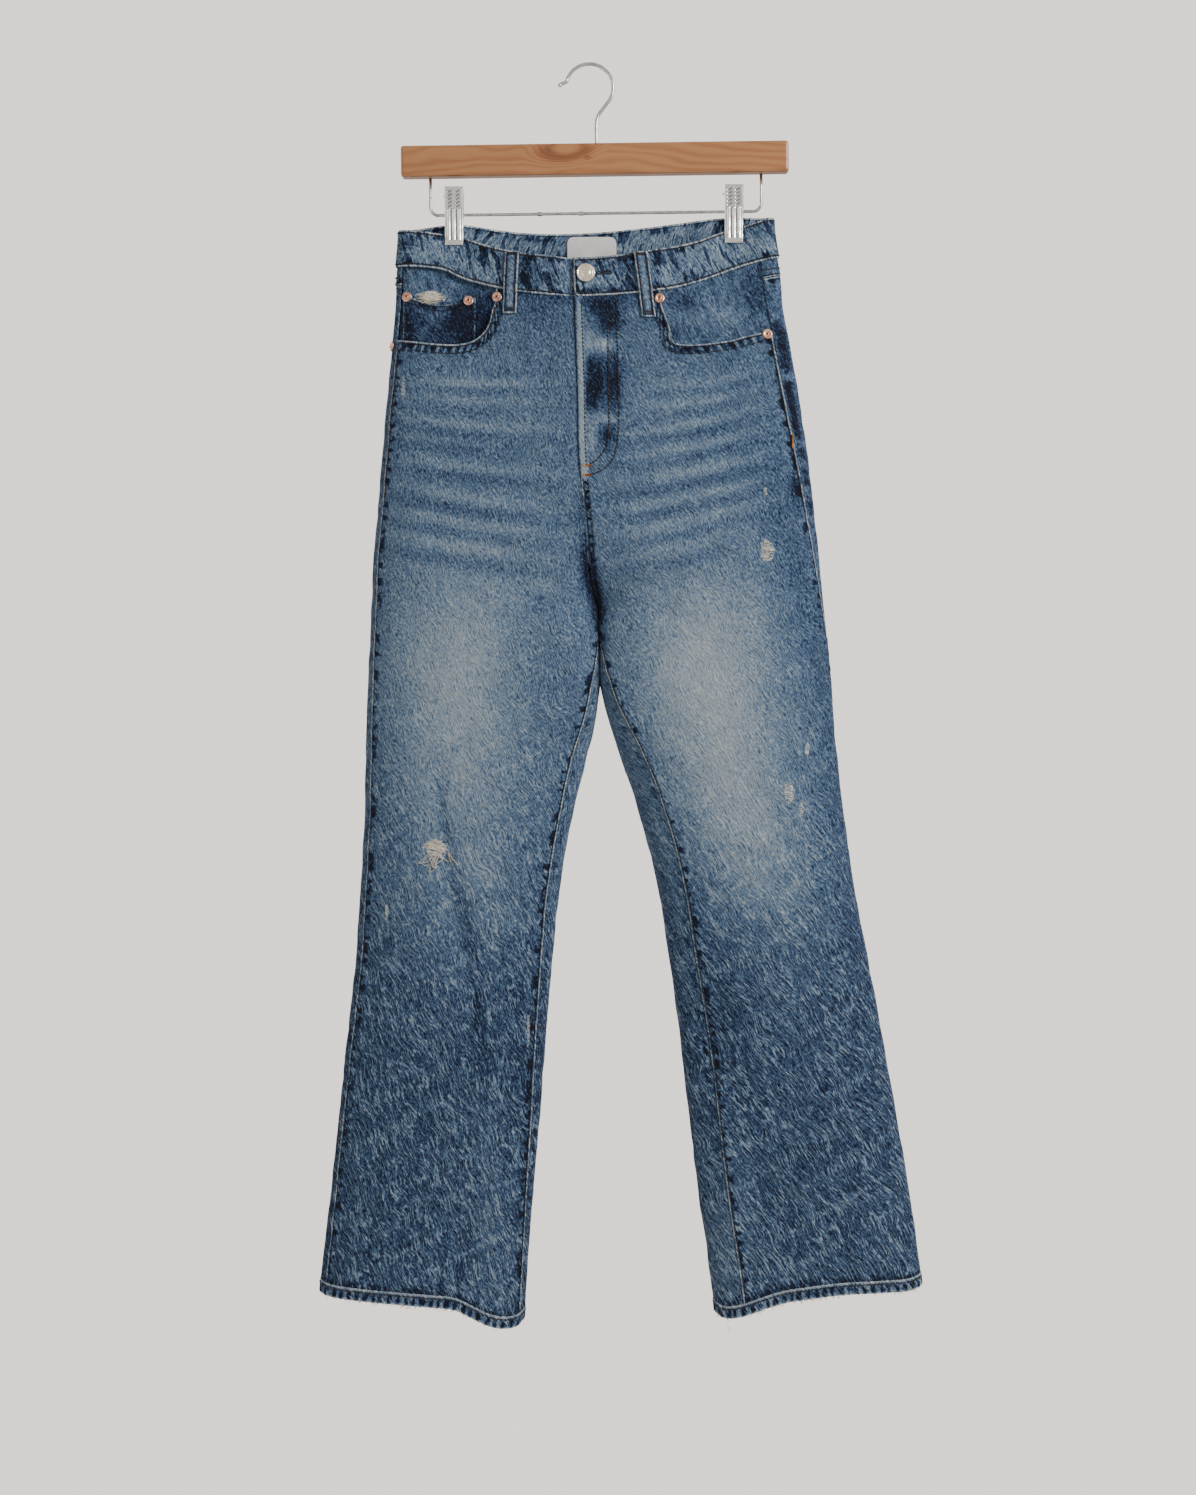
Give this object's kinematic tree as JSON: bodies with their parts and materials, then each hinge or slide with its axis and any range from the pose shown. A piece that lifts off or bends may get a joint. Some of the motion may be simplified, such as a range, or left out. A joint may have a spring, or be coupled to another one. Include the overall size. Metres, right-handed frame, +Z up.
{
  "type": "straight-leg jeans on a clip hanger",
  "caption": "Faded straight-leg jeans, slightly flared at the hem, hung flat by two metal clips from a wooden bar hanger with a hook.",
  "frame": {"origin": "top of the inside of the hanger's hook, where the hook rests on what carries it", "axes": "+Z up along the hanging garment, -Y towards the front of the jeans, +X towards the wearer's left"},
  "size_m": [0.5587, 0.0598, 1.1743],
  "materials": {
    "denim": "faded indigo twill with whiskers, pale thighs and worn edges",
    "denim_dark": "less faded indigo twill of the waistband, loops, facings and hems",
    "label": "white woven label, bare",
    "button_metal": "pale champagne metal, slightly worn",
    "rivet_metal": "copper-coloured metal, worn",
    "hanger_wood": "warm varnished wood, semi-gloss",
    "hanger_steel": "satin nickel-plated steel"
  },
  "bodies": {
    "root": {"front_right": "denim", "front_left": "denim", "back_right": "denim", "back_left": "denim", "yoke_right": "denim", "yoke_left": "denim", "back_pocket_right": "denim", "back_pocket_left": "denim", "hem_right": "denim", "hem_left": "denim", "waistband_right": "denim_dark", "waistband_left": "denim_dark", "pocket_facing_right": "denim_dark", "pocket_facing_left": "denim_dark", "coin_pocket": "denim_dark", "fly_shield": "denim_dark", "belt_loop_front_right": "denim_dark", "belt_loop_front_left": "denim_dark", "belt_loop_back_right": "denim_dark", "belt_loop_back_centre": "denim_dark", "belt_loop_back_left": "denim_dark", "neck_label": "label", "waist_button": "button_metal", "rivet_coin_outer": "rivet_metal", "rivet_coin_inner": "rivet_metal", "rivet_pocket_right_top": "rivet_metal", "rivet_pocket_right_side": "rivet_metal", "rivet_pocket_left_top": "rivet_metal", "rivet_pocket_left_side": "rivet_metal", "hanger_bar": "hanger_wood", "hanger_hook": "hanger_steel", "hanger_rod": "hanger_steel", "clip_right_front": "hanger_steel", "clip_right_back": "hanger_steel", "clip_right_spring": "hanger_steel", "clip_left_front": "hanger_steel", "clip_left_back": "hanger_steel", "clip_left_spring": "hanger_steel"}
  },
  "joints": []
}
